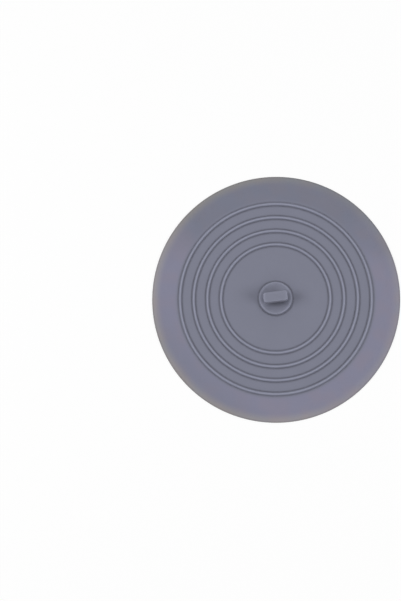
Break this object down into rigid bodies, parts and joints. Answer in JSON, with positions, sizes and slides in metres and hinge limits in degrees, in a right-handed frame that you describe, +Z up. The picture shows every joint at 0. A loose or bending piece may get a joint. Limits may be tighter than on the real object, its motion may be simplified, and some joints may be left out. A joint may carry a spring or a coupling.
{
  "type": "drain stopper",
  "caption": "Flat round silicone drain stopper: a ribbed flexible disc that seals over a drain by its own weight and suction, with a pull tab on a dished boss.",
  "frame": {"origin": "middle of the flat underside, where the stopper lies on the tub", "axes": "+Z up through the knob, X along the pull tab, Y across it"},
  "size_m": [0.15, 0.15, 0.0126],
  "materials": {
    "silicone": "matte moulded silicone, grey with a violet cast"
  },
  "bodies": {
    "rim": {"sealing_flange": "silicone", "centre_panel": "silicone"},
    "hoop_1": {"rib_ring_1": "silicone"},
    "hoop_2": {"rib_ring_2": "silicone"},
    "hoop_3": {"rib_ring_3": "silicone"},
    "hoop_4": {"rib_ring_4": "silicone"},
    "knob": {"knob_base": "silicone", "tab_neck": "silicone"},
    "grip": {"pull_tab": "silicone"}
  },
  "joints": [
    {"name": "centre_lift", "type": "slide", "parent": "rim", "child": "knob", "axis": [0, 0, 1], "range_m": [0, 0.012], "stiffness_N_per_m": 30, "deforming": ["centre_panel"]},
    {"name": "rib_1_lift", "type": "slide", "parent": "rim", "child": "hoop_1", "axis": [0, 0, 1], "range_m": [0, 0.00588]},
    {"name": "rib_2_lift", "type": "slide", "parent": "rim", "child": "hoop_2", "axis": [0, 0, 1], "range_m": [0, 0.00371]},
    {"name": "rib_3_lift", "type": "slide", "parent": "rim", "child": "hoop_3", "axis": [0, 0, 1], "range_m": [0, 0.00193]},
    {"name": "rib_4_lift", "type": "slide", "parent": "rim", "child": "hoop_4", "axis": [0, 0, 1], "range_m": [0, 0.00067]},
    {"name": "tab_bend", "type": "hinge", "parent": "knob", "child": "grip", "pos_m": [0, 0, 0.0048], "axis": [1, 0, 0], "range_deg": [-30, 30], "stiffness_Nm_per_rad": 0.05, "deforming": ["tab_neck"]}
  ],
  "couplings": [
    {"joint": "rib_1_lift", "follows": "centre_lift", "ratio": 0.489},
    {"joint": "rib_2_lift", "follows": "centre_lift", "ratio": 0.309},
    {"joint": "rib_3_lift", "follows": "centre_lift", "ratio": 0.16},
    {"joint": "rib_4_lift", "follows": "centre_lift", "ratio": 0.055}
  ]
}
